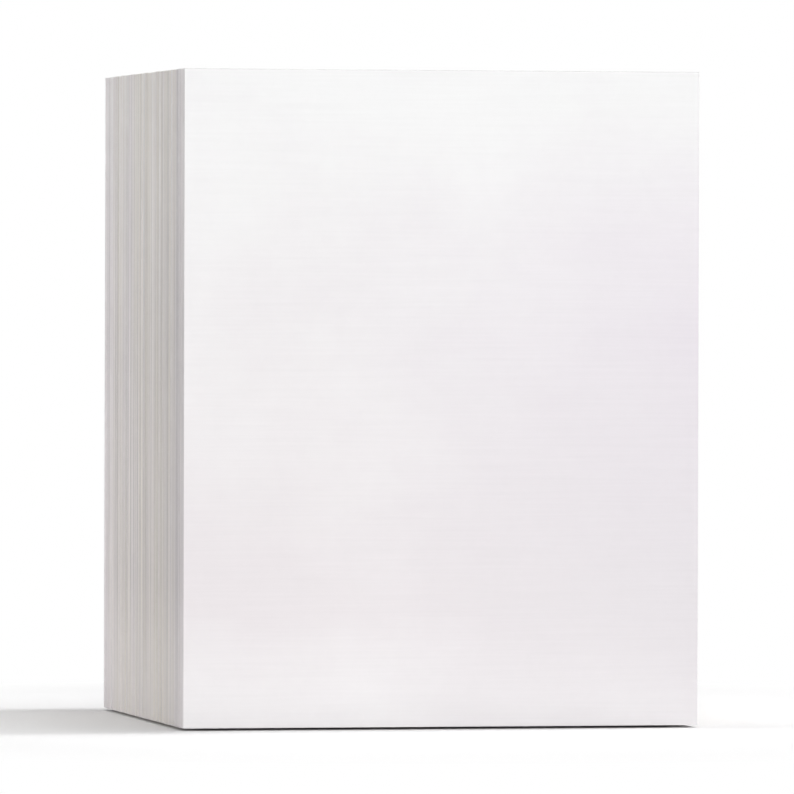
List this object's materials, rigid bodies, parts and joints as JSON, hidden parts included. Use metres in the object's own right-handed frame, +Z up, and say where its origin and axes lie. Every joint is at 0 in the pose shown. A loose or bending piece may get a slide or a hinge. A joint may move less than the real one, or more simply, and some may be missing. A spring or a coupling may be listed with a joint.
{
  "type": "ream of paper",
  "caption": "Ream of thick blank white paper: a square block of loose sheets standing on its short edge, with the fine lines of the cut sheet edges on its sides.",
  "frame": {"origin": "on the surface that the ream stands on, under the middle of the stack", "axes": "+X across a sheet, to the right seen from the front sheet; +Y through the stack, from the front sheet to the back one; +Z up, along the long side of a sheet"},
  "size_m": [0.2038, 0.18, 0.254],
  "materials": {
    "sheet_face": "smooth uncoated white paper, matt, with a faint fibrous tooth",
    "light_edge": "guillotined paper edge, matt, of the bundles that catch the light",
    "middle_edge": "guillotined paper edge, matt, of middle tone",
    "shaded_edge": "guillotined paper edge, matt, of the bundles that lie a little back in shade"
  },
  "bodies": {
    "root": {"sheets_01": "sheet_face", "sheets_02": "light_edge", "sheets_03": "middle_edge", "sheets_04": "shaded_edge", "sheets_05": "shaded_edge", "sheets_06": "middle_edge", "sheets_07": "middle_edge", "sheets_08": "middle_edge", "sheets_09": "light_edge", "sheets_10": "shaded_edge", "sheets_11": "shaded_edge", "sheets_12": "shaded_edge", "sheets_13": "middle_edge", "sheets_14": "shaded_edge", "sheets_15": "middle_edge", "sheets_16": "light_edge", "sheets_17": "middle_edge", "sheets_18": "light_edge", "sheets_19": "light_edge", "sheets_20": "light_edge", "sheets_21": "light_edge", "sheets_22": "middle_edge", "sheets_23": "middle_edge", "sheets_24": "shaded_edge", "sheets_25": "shaded_edge", "sheets_26": "middle_edge", "sheets_27": "shaded_edge", "sheets_28": "light_edge", "sheets_29": "middle_edge", "sheets_30": "shaded_edge", "sheets_31": "shaded_edge", "sheets_32": "middle_edge", "sheets_33": "shaded_edge", "sheets_34": "light_edge", "sheets_35": "middle_edge", "sheets_36": "shaded_edge", "sheets_37": "light_edge", "sheets_38": "light_edge", "sheets_39": "light_edge", "sheets_40": "shaded_edge", "sheets_41": "middle_edge", "sheets_42": "middle_edge", "sheets_43": "middle_edge", "sheets_44": "light_edge", "sheets_45": "light_edge", "sheets_46": "light_edge", "sheets_47": "shaded_edge", "sheets_48": "light_edge", "sheets_49": "light_edge", "sheets_50": "sheet_face"}
  },
  "joints": []
}
